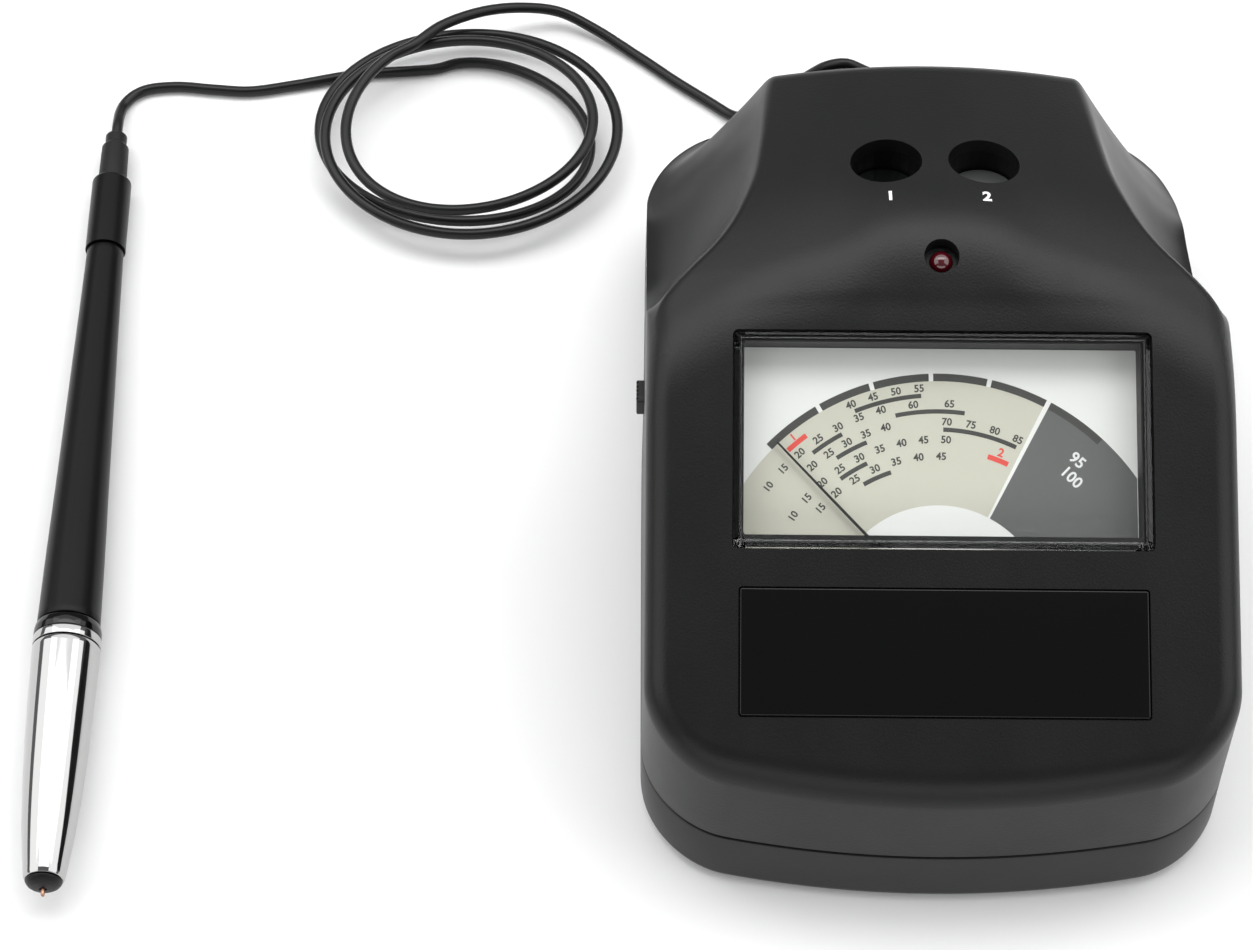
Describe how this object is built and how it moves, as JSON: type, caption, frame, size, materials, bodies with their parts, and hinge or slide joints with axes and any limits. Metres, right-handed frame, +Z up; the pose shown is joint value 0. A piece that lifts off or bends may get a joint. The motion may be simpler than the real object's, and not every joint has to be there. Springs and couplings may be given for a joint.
{
  "type": "diamond tester",
  "caption": "Bench gem tester: sloped console with an analogue meter, test wells and a lamp, and a pen probe with a copper tip on a thin lead.",
  "frame": {"origin": "on the table, at the middle of the box round the console and the probe", "axes": "+X to the right across the console's front, away from the probe, +Y to the console's rear, +Z up"},
  "size_m": [0.2097, 0.1982, 0.067],
  "materials": {
    "shell_black": "fine satin",
    "gloss_black": "gloss",
    "dark_plastic": "matt",
    "cell_jacket": "printed jacket",
    "clear_plastic": "clear, polished",
    "dial_print": "printed, matt",
    "needle_black": "satin black",
    "steel": "plated",
    "copper": "bare copper",
    "polished_steel": "mirror polished",
    "rubber_black": "matt",
    "lamp_red": "tinted, polished",
    "dark_glass": "polished",
    "grey_disc": "satin",
    "board_green": "solder mask",
    "brass": "turned"
  },
  "bodies": {
    "console": {"upper_housing": "shell_black", "lower_housing": "shell_black", "probe_barrel": "shell_black", "probe_collar": "shell_black", "label_plate": "gloss_black", "meter_case": "dark_plastic", "well_block": "dark_plastic", "lamp_holder": "dark_plastic", "warmup_chip": "dark_plastic", "heat_driver": "dark_plastic", "capacitor": "dark_plastic", "probe_socket": "dark_plastic", "power_switch_body": "dark_plastic", "trim_pot_body": "dark_plastic", "nose_cap": "dark_plastic", "battery_1": "cell_jacket", "battery_2": "cell_jacket", "battery_3": "cell_jacket", "battery_4": "cell_jacket", "meter_window": "clear_plastic", "dial_plate": "dial_print", "housing_screw_1": "steel", "housing_screw_2": "steel", "housing_screw_3": "steel", "housing_screw_4": "steel", "front_contact_1": "steel", "front_contact_2": "steel", "rear_contact_1": "steel", "rear_contact_2": "steel", "rear_contact_3": "steel", "meter_magnet": "steel", "pole_core": "steel", "board_screw_1": "steel", "board_screw_2": "steel", "tip_spring": "steel", "probe_nose": "polished_steel", "probe_trim_ring": "polished_steel", "rubber_foot_1": "rubber_black", "rubber_foot_2": "rubber_black", "rubber_foot_3": "rubber_black", "rubber_foot_4": "rubber_black", "probe_boot": "rubber_black", "lead_to_coil": "rubber_black", "lead_coil": "rubber_black", "lead_to_console": "rubber_black", "lead_plug": "rubber_black", "plug_boot": "rubber_black", "probe_wires": "rubber_black", "status_lamp": "lamp_red", "glass_disc": "dark_glass", "calibration_disc": "grey_disc", "circuit_board": "board_green", "heater_cartridge": "brass"},
    "needle_assembly": {"needle": "needle_black", "moving_coil": "copper"},
    "switch_slider": {"power_switch_slider": "dark_plastic"},
    "trimmer": {"calibration_trimmer": "brass"},
    "door": {"battery_door": "shell_black"},
    "probe_pin": {"probe_tip": "copper"}
  },
  "joints": [
    {"name": "needle_swing", "type": "hinge", "parent": "console", "child": "needle_assembly", "pos_m": [0.05423, -0.03785, 0.0375], "axis": [0, 0.3754, -0.9269], "range_deg": [0, 90], "stiffness_Nm_per_rad": 0.002},
    {"name": "power_switch_slide", "type": "slide", "parent": "console", "child": "switch_slider", "axis": [0, 1, 0], "range_m": [0, 0.003]},
    {"name": "calibration_turn", "type": "hinge", "parent": "console", "child": "trimmer", "pos_m": [0.05423, 0.00854, 0.032], "axis": [1, 0, 0], "range_deg": [-135, 135]},
    {"name": "battery_door_slide", "type": "slide", "parent": "console", "child": "door", "axis": [1, 0, 0], "range_m": [0, 0.081]},
    {"name": "probe_tip_slide", "type": "slide", "parent": "console", "child": "probe_pin", "axis": [-0.0173, 0.9996, -0.0231], "range_m": [0, 0.001], "stiffness_N_per_m": 300}
  ]
}
